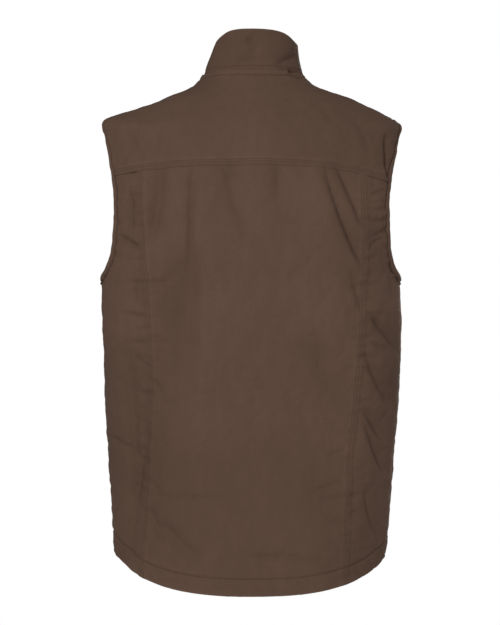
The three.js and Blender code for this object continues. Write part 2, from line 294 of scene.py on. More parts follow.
def arm_point(oval, face, way):
    """Points of the oval; way is 0 at the underarm and half a turn at the shoulder tip."""
    lower = way < math.pi / 2
    power = np.where(lower, 2 / ARM_ROUND[face], 2 / UPPER_ROUND)
    wide = np.clip(np.sin(way), 0, 1) ** power
    tall = np.abs(np.cos(way)) ** power
    middle = oval["bottom"] + (oval["top"] - oval["bottom"]) * ARM_MID
    up = middle + (np.where(lower, oval["bottom"], oval["top"]) - middle) * tall
    reach = math.radians(ARM_REACH[face] + oval["widen"]) * wide
    return (SIDE_SEAM - reach if face == "back" else SIDE_SEAM + reach), up


def side_end(face, row):
    """Where rows end on the right side: on the side seam, the armhole or the shoulder seam."""
    bottom, top = PANEL_EDGE["bottom"], PANEL_EDGE["top"]
    way = np.interp(row, [bottom, YOKE_SEAM, top], [0, ROUND_AT_YOKE, math.pi])
    angle, up = arm_point(PANEL_EDGE, face, way)
    at_arm = (row > bottom) & (row < top)
    return np.where(at_arm, angle, SIDE_SEAM), np.where(at_arm, up, row)


def long_seam(side, row):
    """Where rows meet a long seam of the back."""
    x = curve_at(LONG_SEAMS, side, row)
    return angle_at(BODY, row, -x if side == "left" else x), row


def front_edge(side, row):
    """Where rows meet the edge of a front."""
    x = ZIP_OPENING / 2
    return angle_at(BODY, row, -x if side == "left" else x, on_front=True), row


print("share of the armhole below the yoke seam:", round(SHARE_AT_YOKE, 3))

# %% [markdown]
# ## Folds
#
# Canvas is stiff: where it has been worn it keeps wide hollows, long rolls that run from the shoulder
# blades to the waist, and short creases across the seams. Each is drawn as it is seen from behind, from one
# point to another with a little bow: a ridge where its height is above zero, a furrow where it is below.
# The height fades over one length on the left of the line, or under it, and over another on the right, or
# above, because a fold that leans has one steep face and one that runs out slowly. The line itself is
# rounded: much in a hollow, less in a roll and hardly at all in a crease. A sculpting brush could draw the
# same folds, but not twice alike, and a table can be corrected one fold at a time.

# %% Fold tables
# each row: x0, z0, x1, z1, bow, height, left, right
ROLLS = [
    # from the right shoulder blade, and down the right side
    (94, -100, 154, -290, -5.5, 13, 34, 22),
    (158, -318, 211, -396, 4, 5, 9, 6),
    (154, -376, 200, -476, -3.4, 6, 9, 8),
    (150, -456, 194, -524, -1, 5, 8, 8),
    (152, -474, 197, -578, 0, 6, 9, 9),
    (158, -560, 188, -666, -6, 8, 8, 18),
    # from the left shoulder blade
    (-64, -230, -70, -480, 0, 3, 14, 24),
    (-128, -112, -143, -246, 4, -8, 9, 9),
    (34, -100, 37, -206, 0, -3.5, 10, 11),
    # at the waist and above the hem
    (-178, -350, -172, -700, 0, -20, 18, 40),
    (-148, -462, -192, -620, 8, -7, 8, 12),
    (186, -440, 178, -690, 0, -5, 32, 12),
    (-132, -612, -62, -676, -6, -8, 11, 12),
    (-152, -596, -122, -652, 1, -6, 7, 7),
]
HOLLOWS = [
    # under the left shoulder blade, and at the waist on the right
    (-85, -215, -95, -445, 0, -11, 22, 14),
    (72, -352, 136, -470, 2, -5, 10, 14),
]
CREASES = [
    # under the yoke on the right
    (96, -112, 159, -280, -5.5, -13, 7, 11),
    (111, -118, 155, -220, 4, -7, 5, 8),
    (133, -258, 153, -334, 1, -4, 6, 8),
    # beside the right armhole, from the shoulder down
    (187, -70, 193, -152, 0, -7, 3, 3.5),
    (193, -266, 201, -322, 0, -3, 3, 3.5),
    (162, -168, 192, -156, 1, -2.6, 2, 2.4),
    (160, -177, 190, -172, -1, -1.8, 2, 2),
    (160, -187, 192, -181, -1, -2.4, 2, 2.4),
    (158, -202, 192, -195, -2, -2.8, 2, 2.4),
    (160, -224, 194, -207, -3, -3.2, 2.2, 2.8),
    (158, -242, 186, -224, 2, -2.8, 2.2, 2.8),
    # down the right side
    (158, -324, 212, -394, 4, -13, 8, 8),
    (161, -370, 197, -387, 2, -3, 2.5, 3.5),
    (155, -376, 202, -472, -3.4, -11, 8, 10),
    (151, -457, 196, -518, -1, -7.5, 5, 9),
    (153, -474, 199, -572, 0, -10.5, 5.5, 10),
    (160, -564, 190, -660, -6, -12, 9, 13),
    # the right of the centre panel
    (98, -531, 135, -518, 0, -2.6, 4, 4),
    (76, -579, 135, -561, -1, -3, 4, 5),
    (90, -589, 135, -586, 0, -2.4, 3, 4),
    (110, -619, 135, -621, 0, -2.2, 3, 3),
    (-14, -664, 72, -667, -2, -3.6, 4, 6),
    (48, -666, 108, -675, -1, -3, 4, 5),
    # under the yoke on the left
    (-81, -104, -87, -290, 0, -5.5, 5, 6),
    (-42, -112, -6, -236, 0, -4.5, 9, 12),
    (-30, -110, -24, -150, 0, -3, 4, 5),
    (38, -116, 37, -168, 0, -2.2, 4, 4),
    (-172, -146, -166, -226, 0, -5, 6, 6),
    (-194, -218, -148, -245, 1, -5.6, 4.5, 4.5),
    # across the left long seam
    (-180, -286, -104, -287, -1, -3, 4, 4),
    (-166, -288, -160, -318, 0, -3, 4, 4),
    (-184, -330, -144, -335, 0, -3.2, 3.5, 4),
    (-184, -372, -100, -371, 0, -2.6, 3.5, 4),
    (-170, -391, -141, -408, 1, -3.2, 3.5, 4),
    (-145, -416, -120, -448, 0, -3.2, 4, 4),
    (-159, -445, -133, -445, 0, -2.4, 3, 3),
    # the lower left
    (-209, -503, -163, -536, 0, -4.8, 4, 5),
    (-159, -556, -123, -581, -1, -3.2, 4, 4),
    (-159, -582, -16, -583, -3, -2.2, 2.5, 3),
    (-159, -650, -68, -687, -2, -2.4, 5, 6),
    # across the yoke
    (-182, -66, -148, -122, 2, -2, 7, 9),
    (-118, -58, -140, -112, 0, -1.6, 8, 9),
    (138, -46, 168, -112, 2, -2.2, 7, 9),
    (166, -62, 184, -124, 0, -2.2, 5, 6),
    # where the collar is pinched
    (50, 15, 72, 3, 0, -7, 3, 3),
]
COLLAR_CREASES = [
    (-8, 60, 12, 36, 0, -4, 7, 8),
    (-26, 24, 14, 27, 1, -4, 7, 8),
    (34, 20, 70, 39, 0, -5, 6, 6),
    (50, 15, 72, 3, 0, -7, 3, 3),
]
print("hollows:", len(HOLLOWS), "rolls:", len(ROLLS), "creases:", len(CREASES))

# %% Shape of a fold
FACE_CURVE = 1.15
HOLLOW_ROUND = 12
ROLL_ROUND = 3.5
CREASE_ROUND = 0.6
FOLD_FADE = {"none": -0.05, "full": 0.2}


def fold_height(folds, x, z, rounding):
    """How far folds, rounded along their lines, raise or lower the cloth at points seen from behind."""
    total = np.zeros_like(x)
    for x0, z0, x1, z1, bow, height, left, right in folds:
        run_x, run_z = x1 - x0, z1 - z0
        length = math.hypot(run_x, run_z)
        t = np.clip(((x - x0) * run_x + (z - z0) * run_z) / length**2, 0, 1)
        inside = 4 * t * (1 - t)
        side = (run_x * (z - z0) - run_z * (x - x0)) / length - bow * inside
        away = (np.hypot(side, rounding) - rounding) / np.where(side < 0, left, right)
        total += height * inside**2 * (3 - 2 * inside) * np.exp(-(away**FACE_CURVE))
    return total


def back_folds(angle, points):
    """All folds of the back, which fade out round the sides, by the cosine of the angle."""
    share = np.clip((np.cos(angle) - FOLD_FADE["none"]) / (FOLD_FADE["full"] - FOLD_FADE["none"]), 0, 1)
    share = share * share * (3 - 2 * share)
    x, z = points[..., 0], points[..., 2]
    folds = ((HOLLOWS, HOLLOW_ROUND), (ROLLS, ROLL_ROUND), (CREASES, CREASE_ROUND))
    return share * sum(fold_height(rows, x, z, rounding) for rows, rounding in folds)


shoulder_blade = back_folds(np.zeros(1), np.array([[94.0, 0, -200.0]]))
print("folds at the right shoulder blade, mm:", np.round(shoulder_blade, 2))

# %% [markdown]
# ## Cloth
#
# Each cut is a flat grid of cloth whose vertices are moved onto the form. A cloth simulation would find
# folds of its own; here they are known, so the grid is moved by code. The stations of the grid lie close
# together near stitched edges, where the cloth changes quickly. The grid carries two maps: the flat cut in
# metres, for the weave, and the distances to its stitched edges, so that the material can draw a fine line
# along a seam. A Solidify modifier gives the cloth its thickness and a Bevel rounds its cut edges.

# %% Grids
def stations(*runs):
    """Marks along a length. Each run gives where it starts and how far apart its marks lie."""
    marks = []
    for (start, step), (end, _) in zip(runs, runs[1:]):
        count = max(1, round((end - start) / step))
        marks.extend(np.linspace(start, end, count, endpoint=False))
    return np.array([*marks, runs[-1][0]])


def along(points, axis):
    """Lengths along the lines of a grid, from its first row or column."""
    pieces = np.linalg.norm(np.diff(points, axis=axis), axis=-1)
    start = np.zeros_like(pieces[:1] if axis == 0 else pieces[:, :1])
    return np.concatenate([start, np.cumsum(pieces, axis=axis)], axis=axis)


def edge_distances(points):
    """The distance of every grid point from each edge, along the cloth."""
    across, rise = along(points, 1), along(points, 0)
    return {
        "left": across,
        "right": across[:, -1:] - across,
        "bottom": rise,
        "top": rise[-1:] - rise,
    }


print("stations near an edge, mm:", np.round(stations((0, 1.2), (6, 2.4), (16, 0)), 1))

# %% Laying cloth
CLOTH = 1.8
FAR = 1.0  # metres, for cloth without stitching
MERGE = 1e-5
EDGE_ROUND = 0.6
EDGE_ANGLE = 60


def give_thickness(piece, wall, doubled):
    """Gives cloth a wall behind its face, twice as thick where it is doubled, and rounds its edges."""
    thick = piece.modifiers.new("thickness", "SOLIDIFY")
    thick.thickness = wall * MM
    thick.offset = -1
    if doubled is not None:
        group = piece.vertex_groups.new(name="doubled")
        for vertex in np.flatnonzero(doubled.reshape(-1)):
            group.add([int(vertex)], 1.0, "REPLACE")
        thick.vertex_group = "doubled"
        thick.thickness = 2 * wall * MM
        thick.thickness_vertex_group = 0.5
    rounding = piece.modifiers.new("rounding", "BEVEL")
    rounding.width = EDGE_ROUND * MM
    rounding.segments = 2
    rounding.limit_method = "ANGLE"
    rounding.angle_limit = math.radians(EDGE_ANGLE)


def lay_cloth(name, points, wall, seam=None, line=None, doubled=None, closed=False, wear_and_painted_shading=None):
    """A sheet of cloth on a grid of points. Seam and line are distances to its stitching, in mm."""
    rows, columns = points.shape[:2]
    distances = edge_distances(points)
    flat = np.stack([distances["left"], distances["bottom"]], axis=-1).reshape(-1, 2) * MM
    far = np.full((rows, columns), FAR / MM)
    stitching = np.stack([far if seam is None else seam, far if line is None else line], axis=-1)
    stitching = stitching.reshape(-1, 2) * MM
    bm = bmesh.new()
    bmesh.ops.create_grid(bm, x_segments=columns - 1, y_segments=rows - 1, size=0.5)
    mesh = bpy.data.meshes.new(name)
    bm.to_mesh(mesh)
    mesh.vertices.foreach_set("co", (points * MM).ravel())
    corners = np.zeros(len(mesh.loops), int)
    mesh.loops.foreach_get("vertex_index", corners)
    for map_name, values in (("cut", flat), ("stitching", stitching)):
        mesh.uv_layers.new(name=map_name).data.foreach_set("uv", values[corners].ravel())
    vertex_wear_and_shading = np.zeros(rows * columns) if wear_and_painted_shading is None else wear_and_painted_shading.reshape(-1)
    mesh.attributes.new("wear_and_painted_shading", "FLOAT", "POINT").data.foreach_set("value", vertex_wear_and_shading)
    mesh.shade_smooth()
    if closed:
        bm.clear()
        bm.from_mesh(mesh)
        bmesh.ops.remove_doubles(bm, verts=bm.verts, dist=MERGE)
        bm.to_mesh(mesh)
    bm.free()
    piece = bpy.data.objects.new(name, mesh)
    scene.collection.objects.link(piece)
    give_thickness(piece, wall, doubled)
    return piece


print("cloth", CLOTH, "mm thick")

# %% [markdown]
# ## Seam relief
#
# Work clothes are sewn with lapped seams: the edge of one panel is folded under, laid over its neighbour
# and stitched through in three rows. The lap stands a little proud, the thread pulls a groove at each row,
# and the cloth beside the seam puckers because the thread is tighter than the cloth. The hem is turned up
# and held by one row. It twists a little as it is sewn, so its ripples slant. A bump in the material could
# hint at all this, but only moved vertices change the outline and hold in a close view. Between seams and
# folds the cloth is never quite flat, which slow noises give.

# %% Relief
SEAM_ROWS = (1.5, 5.2, 8.9)
LAP_RISE = 0.5
LAP_FALL = 2.5
LAP_WIDTH = SEAM_ROWS[-1] + LAP_FALL
GROOVE = 0.35
GROOVE_WIDTH = 1.1
HEM_GROOVE = 1.5
HEM_GROOVE_WIDTH = 1.5
PUCKER = 2.5
PUCKER_REACH = 20
PUCKER_WAVES = (26, 26, 9)
SIDE_PUCKERS = 11.3
SIDE_CALM = 0.35
SIDE_FADE = 2.2
ROPE_PITCH = 15
ROPE_HEIGHT = 0.6
ROPE_WANDER = 3
SWELL = 3.2
SWELL_STRETCH = (1, 1, 0.45)
CRUMPLE = 2.2
CRUMPLE_LEVEL = 0.25
FINE_SHARE = 0.5
# each: how long the waves of a noise are, and its seed
SWELL_WAVES = (60, 3.1)
CRUMPLE_WAVES = (34, 7.7)
FINE_WAVES = (15, 2.9)
ROPE_WAVES = (40, 8.2)


def slow_noise(points, size, seed):
    """A smooth noise over points, about -1 to 1, whose waves are about as long as size."""
    flat = points.reshape(-1, 3) / size
    values = [noise.noise(Vector((x, y + seed, z))) for x, y, z in flat]
    return np.array(values).reshape(points.shape[:-1])


def groove_at(distance, depth=GROOVE, width=GROOVE_WIDTH):
    return -depth * np.exp(-((distance / width) ** 2))


def lapped(distance):
    """The height of a lapped seam at distances from its edge."""
    fall = np.clip((LAP_WIDTH - distance) / LAP_FALL, 0, 1)
    return LAP_RISE * fall + sum(groove_at(distance - row) for row in SEAM_ROWS)


def puckers(distance, points, seed):
    """Small waves across a seam, which die out away from it."""
    return PUCKER * np.exp(-((distance / PUCKER_REACH) ** 2)) * slow_noise(points / PUCKER_WAVES, 1, seed)


def roping(across, rise, points):
    """Slanting ripples in a turned-up hem, which twists a little as it is sewn."""
    inside = np.clip(rise * (HEM_DEPTH - rise) / (HEM_DEPTH / 2) ** 2, 0, 1)
    wander = ROPE_WANDER * slow_noise(points, *ROPE_WAVES)
    return ROPE_HEIGHT * inside * np.sin((across + rise) * 2 * math.pi / ROPE_PITCH + wander)


def worn(points):
    """The unevenness of worn canvas: slow swells, drawn out downwards, and a net of faint creases."""
    swell = slow_noise(points * SWELL_STRETCH, *SWELL_WAVES)
    crumple = np.abs(slow_noise(points, *CRUMPLE_WAVES))
    crumple = crumple + FINE_SHARE * np.abs(slow_noise(points, *FINE_WAVES))
    return SWELL * swell + CRUMPLE * (crumple - CRUMPLE_LEVEL)


print("rows of stitching on a seam, mm from its edge:", SEAM_ROWS)

# %% [markdown]
# ## Wear and painted shading
#
# Dyed canvas fades where it is rubbed, on ridges and along folded edges. One number at each vertex, its
# wear and painted shading, carries this to the material. Over the folds it is partly rubbed dye and partly
# painted
# light and shade: ridges are painted lighter and furrows painted darker, as the shade in them. It could be
# painted with a brush, but taken from the same folds and distances as the mesh it always lies where the
# relief is. The broad patches are a table of their own, chosen by comparing tones with the photograph. They
# are painted light and painted shade, for soft light and shade that these lamps don't give; one picture
# can't tell whether some of them are also faded dye. They lie by width and height alone, so the fronts get
# them too.

# %% Wear and painted shading
FOLD_SHADING_HEIGHT = 5
PAINTED_LIGHT_AND_SHADE = (
    # x, z, reach, painted light (below zero: painted shade)
    # over the yoke
    (-64, -24, 28, -1.2),
    (-110, -100, 70, -0.5),
    (120, -85, 60, -0.6),
    # under the yoke on the right
    (108, -140, 28, -1.1),
    (176, -160, 42, 1.9),
    (134, -226, 40, -1.9),
    (94, -320, 45, 1.1),
    # down the right side
    (207, -300, 30, 2.2),
    (135, -400, 50, 0.5),
    (207, -428, 34, -1.8),
    (134, -512, 34, 1.1),
    # beside the left hollow and down the left side
    (-62, -320, 30, 0.7),
    (-106, -325, 30, -0.5),
    (-66, -410, 40, 0.5),
    (-180, -420, 90, -0.6),
    (-82, -487, 36, 1.1),
    (-150, -560, 80, -1.3),
    # above the hem
    (50, -560, 70, -0.8),
    (0, -660, 150, -0.6),
    (-186, -672, 20, -1.4),
    (148, -684, 48, -1.7),
)
EDGE_WEAR = 0.8
EDGE_WEAR_REACH = 2.0


def fold_wear_and_shading(height):
    """Above zero on ridges, for rubbed dye and painted light; below zero in furrows, painted shade."""
    return np.tanh(height / FOLD_SHADING_HEIGHT)


def painted_light_and_shade_at(points):
    """The soft patches of painted light and shade at points, by their width and height alone."""
    total = np.zeros(points.shape[:-1])
    for x, z, reach, wear_and_painted_shading in PAINTED_LIGHT_AND_SHADE:
        total += wear_and_painted_shading * np.exp(-((points[..., 0] - x) ** 2 + (points[..., 2] - z) ** 2) / reach**2)
    return total


def edge_wear(distance):
    """How far the dye is rubbed off beside a folded edge."""
    return EDGE_WEAR * np.exp(-((distance / EDGE_WEAR_REACH) ** 2))


print("patches:", len(PAINTED_LIGHT_AND_SHADE), "of which dark:", sum(wear_and_painted_shading < 0 for *_, wear_and_painted_shading in PAINTED_LIGHT_AND_SHADE))

# %% [markdown]
# ## The cloth's finish
#
# The canvas is a plain weave, about sixteen threads to the centimetre, dyed dark brown and washed until the
# colour has gone uneven. A picture of canvas could be wrapped round the vest, but it would repeat, and blur
# in a close view. Nodes don't: the weave is the product of two sine waves along the flat cut, and noises of
# three sizes make the washed colour. Along the stitching the cloth is pressed in, and painted a little
# darker there as shade in the grooves. What several finishes share is a node group.

# %% Shader helpers
def calc(tree, operation, *values):
    """A math node; each value is a number or the output of another node."""
    node = tree.nodes.new("ShaderNodeMath")
    node.operation = operation
    for socket, value in zip(node.inputs, values):
        if isinstance(value, bpy.types.NodeSocket):
            tree.links.new(value, socket)
        else:
            socket.default_value = value
    return node.outputs[0]


def scaled(tree, value, by, plus):
    """A value that is multiplied and then added to."""
    return calc(tree, "MULTIPLY_ADD", value, by, plus)


def noise_value(tree, vector, scale, detail):
    node = tree.nodes.new("ShaderNodeTexNoise")
    node.inputs["Scale"].default_value = scale
    node.inputs["Detail"].default_value = detail
    tree.links.new(vector, node.inputs["Vector"])
    return node.outputs["Fac"]


def new_group(name, inputs, outputs):
    tree = bpy.data.node_groups.new(name, "ShaderNodeTree")
    for socket, kind in inputs:
        tree.interface.new_socket(socket, in_out="INPUT", socket_type=kind)
    for socket, kind in outputs:
        tree.interface.new_socket(socket, in_out="OUTPUT", socket_type=kind)
    return tree, tree.nodes.new("NodeGroupInput"), tree.nodes.new("NodeGroupOutput")


def place_group(tree, group):
    node = tree.nodes.new("ShaderNodeGroup")
    node.node_tree = group
    return node

# %% Weave group
THREAD_PITCH = 0.62
SLUB = {"scale": 420, "detail": 1}
SLUB_SHARE = 1.2

weave, weave_in, weave_out = new_group(
    "weave", [("Cut", "NodeSocketVector")], [("Height", "NodeSocketFloat")]
)
axes = weave.nodes.new("ShaderNodeSeparateXYZ")
weave.links.new(weave_in.outputs["Cut"], axes.inputs[0])
slub = noise_value(weave, weave_in.outputs["Cut"], **SLUB)
turns = math.pi / (THREAD_PITCH * MM)
warp = calc(weave, "SINE", calc(weave, "MULTIPLY", axes.outputs["X"], turns))
weft = calc(weave, "SINE", calc(weave, "MULTIPLY", axes.outputs["Y"], turns))
crossing = calc(weave, "MULTIPLY", warp, weft)
weave.links.new(scaled(weave, slub, by=SLUB_SHARE, plus=crossing), weave_out.inputs["Height"])
print("threads to the centimetre:", round(10 / THREAD_PITCH))

# %% Wash group
WASH_NOISES = (
    # scale, detail, how far it is drawn out downwards, strength
    (9, 2, 1, 0.16),
    (90, 3, 0.35, 0.14),
    (620, 2, 1, 0.22),
)

wash, wash_in, wash_out = new_group(
    "wash", [("Vector", "NodeSocketVector")], [("Shade", "NodeSocketFloat")]
)
mixed = 1.0
for scale, detail, drawn_out, amount in WASH_NOISES:
    stretch = wash.nodes.new("ShaderNodeVectorMath")
    stretch.operation = "MULTIPLY"
    stretch.inputs[1].default_value = (1, 1, drawn_out)
    wash.links.new(wash_in.outputs["Vector"], stretch.inputs[0])
    uneven = calc(wash, "SUBTRACT", noise_value(wash, stretch.outputs[0], scale, detail), 0.5)
    mixed = scaled(wash, uneven, by=amount, plus=mixed)
wash.links.new(mixed, wash_out.inputs["Shade"])
print("noises in the wash:", len(WASH_NOISES))

# %% Stitch line group
LINE_WIDTH = 0.9
PULL = {"scale": 45, "detail": 2}

stitch_line, line_in, line_out = new_group(
    "stitch_line",
    [("Stitching", "NodeSocketVector"), ("Place", "NodeSocketVector")],
    [("Seam", "NodeSocketFloat"), ("Row", "NodeSocketFloat")],
)
parts = stitch_line.nodes.new("ShaderNodeSeparateXYZ")
stitch_line.links.new(line_in.outputs["Stitching"], parts.inputs[0])


def line_mask(offset):
    """A mask that is 1 on a line and falls to 0 a line's width away from it."""
    away = calc(stitch_line, "DIVIDE", calc(stitch_line, "ABSOLUTE", offset), LINE_WIDTH * MM)
    return calc(stitch_line, "MAXIMUM", calc(stitch_line, "SUBTRACT", 1.0, away), 0.0)


seam_mask = line_mask(calc(stitch_line, "SUBTRACT", parts.outputs["X"], SEAM_ROWS[0] * MM))
for row in SEAM_ROWS[1:]:
    other = line_mask(calc(stitch_line, "SUBTRACT", parts.outputs["X"], row * MM))
    seam_mask = calc(stitch_line, "MAXIMUM", seam_mask, other)
pull = scaled(stitch_line, noise_value(stitch_line, line_in.outputs["Place"], **PULL), by=1.6, plus=0.2)
for mask, output in ((seam_mask, "Seam"), (line_mask(parts.outputs["Y"]), "Row")):
    stitch_line.links.new(calc(stitch_line, "MULTIPLY", mask, pull), line_out.inputs[output])
print("groups:", [group.name for group in bpy.data.node_groups])

# %% Material helpers
def new_material(name, specular):
    material = bpy.data.materials.new(name)
    material.use_nodes = True
    surface = material.node_tree.nodes["Principled BSDF"]
    surface.inputs["Specular IOR Level"].default_value = specular
    return material, material.node_tree, surface


def object_place(tree):
    return tree.nodes.new("ShaderNodeTexCoord").outputs["Object"]


def map_place(tree, name):
    node = tree.nodes.new("ShaderNodeUVMap")
    node.uv_map = name
    return node.outputs["UV"]


def washed_shade(tree):
    """The uneven dye of worn cloth at each place."""
    node = place_group(tree, wash)
    tree.links.new(object_place(tree), node.inputs["Vector"])
    return node.outputs["Shade"]


def woven_height(tree):
    """The relief of the weave, along the flat cut."""
    node = place_group(tree, weave)
    tree.links.new(map_place(tree, "cut"), node.inputs["Cut"])
    return node.outputs["Height"]


def paint_surface(tree, surface, colour, shade, roughness):
    """Gives a surface one dye in varying strength, and its roughness."""
    tint = tree.nodes.new("ShaderNodeVectorMath")
    tint.operation = "SCALE"
    tint.inputs[0].default_value = colour
    tree.links.new(shade, tint.inputs["Scale"])
    tree.links.new(tint.outputs[0], surface.inputs["Base Color"])
    tree.links.new(roughness, surface.inputs["Roughness"])


def raise_surface(tree, surface, height, depth, strength):
    """Gives a surface a fine relief, depth in millimetres."""
    bump = tree.nodes.new("ShaderNodeBump")
    bump.inputs["Strength"].default_value = strength
    bump.inputs["Distance"].default_value = depth * MM
    tree.links.new(height, bump.inputs["Height"])
    tree.links.new(bump.outputs["Normal"], surface.inputs["Normal"])

# %% Canvas material
CANVAS_COLOUR = (0.1005, 0.0611, 0.0433)
SEAM_PRESS = 0.95
STITCH_PAINTED_SHADE = -0.22
PRESS_DEPTH = -4.0
WEAR_AND_SHADING_STRENGTH = 0.07

canvas, tree, surface = new_material("canvas", specular=0.04)
lines = place_group(tree, stitch_line)
tree.links.new(map_place(tree, "stitching"), lines.inputs["Stitching"])
tree.links.new(object_place(tree), lines.inputs["Place"])
wear_and_painted_shading = tree.nodes.new("ShaderNodeAttribute")
wear_and_painted_shading.attribute_name = "wear_and_painted_shading"
pressed = scaled(tree, lines.outputs["Seam"], by=SEAM_PRESS, plus=lines.outputs["Row"])
# Along the stitching the canvas is painted darker: painted shade in the grooves.
groove_painted_shade = scaled(tree, pressed, by=STITCH_PAINTED_SHADE, plus=1)
# The per-vertex number lightens or darkens the dye: rubbed dye, painted light and painted shade.
wear_and_shading_tint = scaled(tree, wear_and_painted_shading.outputs["Fac"], by=WEAR_AND_SHADING_STRENGTH, plus=1)
dye = washed_shade(tree)
shade = calc(tree, "MULTIPLY", dye, calc(tree, "MULTIPLY", groove_painted_shade, wear_and_shading_tint))
paint_surface(tree, surface, CANVAS_COLOUR, shade, scaled(tree, dye, by=-0.2, plus=1.13))
relief = scaled(tree, pressed, by=PRESS_DEPTH, plus=woven_height(tree))
raise_surface(tree, surface, relief, depth=0.1, strength=0.5)
print("canvas nodes:", len(tree.nodes))

# %% [markdown]
# The thread is a twisted ply in the canvas's own brown, a little glossier than the cloth: slanting bands of
# a wave texture give the twist. The zip's tape is woven like the canvas but darker, and its teeth and
# slider are moulded in plastic that scuffs have dulled. Plain colours would do from afar, but not beside
# the canvas in a close view.

# %% Thread, tape and tooth materials
THREAD_COLOUR = (0.086, 0.051, 0.036)
ZIP_COLOUR = (0.042, 0.028, 0.020)
PLY_SCALE = 700
SCUFFS = {"scale": 900, "detail": 3}
SCUFF_POWER = 3

thread, tree, surface = new_material("thread", specular=0.25)
ply = tree.nodes.new("ShaderNodeTexWave")
ply.bands_direction = "DIAGONAL"
ply.inputs["Scale"].default_value = PLY_SCALE
tree.links.new(object_place(tree), ply.inputs["Vector"])
twist = ply.outputs["Fac"]
shade = calc(tree, "MULTIPLY", washed_shade(tree), scaled(tree, twist, by=0.3, plus=0.85))
paint_surface(tree, surface, THREAD_COLOUR, shade, scaled(tree, twist, by=-0.15, plus=0.8))
raise_surface(tree, surface, twist, depth=0.06, strength=0.6)

zip_cloth, tree, surface = new_material("zip_cloth", specular=0.2)
height = woven_height(tree)
shade = calc(tree, "MULTIPLY", washed_shade(tree), scaled(tree, height, by=0.12, plus=0.9))
paint_surface(tree, surface, ZIP_COLOUR, shade, scaled(tree, height, by=-0.05, plus=0.85))
raise_surface(tree, surface, height, depth=0.12, strength=0.7)

zip_plastic, tree, surface = new_material("zip_plastic", specular=0.45)
scuffs = noise_value(tree, object_place(tree), **SCUFFS)
shade = scaled(tree, calc(tree, "POWER", scuffs, SCUFF_POWER), by=1.6, plus=0.85)
paint_surface(tree, surface, ZIP_COLOUR, shade, scaled(tree, scuffs, by=0.5, plus=0.2))
raise_surface(tree, surface, scuffs, depth=0.05, strength=0.4)
print("materials:", [material.name for material in bpy.data.materials])

# %% [markdown]
# ## Panels of the body
#
# A panel is a set of rows between two seam lines. Panels could be cut out of one large surface, but then
# the mesh would be ragged at every seam. One function places any of them instead: it spreads the columns
# between the two ends of each row, takes the points of the form there, and moves them out by the lap, the
# folds and the relief of the seams that this panel carries.

# %% Placing panels
YOKE_LAP = 0.9
CENTRE_LAP = 0.5
ZIP_ROW = 7
NECK_ROW = 8
grids = {}


def spread(start, end, shares):
    """Angles and heights between the two ends of each row."""
    angle = start[0][:, None] + (end[0] - start[0])[:, None] * shares
    up = start[1][:, None] + (end[1] - start[1])[:, None] * shares
    return angle, up


def nearest_of(distances):
    """The distance to the nearest of several lines, with its sign."""
    nearest = distances[0]
    for other in distances[1:]:
        nearest = np.where(np.abs(other) < np.abs(nearest), other, nearest)
    return nearest


def keep_cut(name, piece, points, smooth):
    """Dyes a cut and keeps it for the sewing."""
    piece.data.materials.append(canvas)
    grids[name] = {"points": points, "smooth": smooth, "piece": piece}
    print(name, points.shape[:2], "cells,", round(along(points, 1)[:, -1].max()), "mm wide")


def body_panel(name, angle, up, lap, rows, lapped_edges=()):
    """One panel of the body. rows gives the edges with one row of stitching, and its distance from them."""
    smooth = form_point(BODY, angle, up)
    distances = edge_distances(smooth)
    lift = lap + back_folds(angle, smooth) + worn(smooth)
    drawn = puckers(np.minimum(distances["left"], distances["right"]), smooth, SIDE_PUCKERS)
    lift = lift + drawn * np.clip(np.cos(angle) * SIDE_FADE, SIDE_CALM, 1)
    seam = None
    if lapped_edges:
        seam = nearest_of([distances[edge] for edge in lapped_edges])
        lift = lift + lapped(seam)
    line = nearest_of([distances[edge] - row for edge, row in rows.items()])
    lift = lift + groove_at(line, HEM_GROOVE, HEM_GROOVE_WIDTH)
    if "bottom" in rows:
        lift = lift + roping(distances["left"], distances["bottom"], smooth)
    points = smooth + form_normal(BODY, angle, up) * lift[..., None]
    doubled = (up <= HEM_DEPTH) if "bottom" in rows else None
    # Over the folds: rubbed dye and painted light on ridges, painted shade in furrows; then the patches of
    # painted light and shade.
    wear_and_painted_shading = fold_wear_and_shading(back_folds(angle, smooth)) + painted_light_and_shade_at(smooth)
    if lapped_edges:
        wear_and_painted_shading = wear_and_painted_shading + edge_wear(seam) + edge_wear(seam - LAP_WIDTH)
    if "bottom" in rows:
        wear_and_painted_shading = wear_and_painted_shading + edge_wear(distances["bottom"])
    keep_cut(name, lay_cloth(name, points, CLOTH, seam, line, doubled, wear_and_painted_shading=wear_and_painted_shading), points, smooth)


print("laps of the yoke and of the centre panel, mm:", YOKE_LAP, CENTRE_LAP)

# %% Back panels
BACK_ROWS = stations((0, 1.6), (36, 2.3), (588, 1.2), (YOKE_SEAM, 0))
SIDE_ROWS = stations((0, 1.6), (588, 1.2), (YOKE_SEAM, 0))
CENTRE_SHARES = stations((0, 1.2), (14, 2.4), (306, 1.2), (320, 0)) / 320
SIDE_SHARES = stations((0, 1.4), (14, 1.7), (76, 1.4), (90, 0)) / 90

HEM_ROW = {"bottom": HEM_DEPTH}
centre_cut = spread(long_seam("left", BACK_ROWS), long_seam("right", BACK_ROWS), CENTRE_SHARES)
body_panel("back_centre", *centre_cut, lap=CENTRE_LAP, lapped_edges=("left", "right"), rows=HEM_ROW)

right_side = side_end("back", SIDE_ROWS)
left_side = (-right_side[0], right_side[1])
left_cut = spread(left_side, long_seam("left", SIDE_ROWS), SIDE_SHARES)
right_cut = spread(long_seam("right", SIDE_ROWS), right_side, SIDE_SHARES)
body_panel("back_side_left", *left_cut, lap=0, rows=HEM_ROW)
body_panel("back_side_right", *right_cut, lap=0, rows=HEM_ROW)

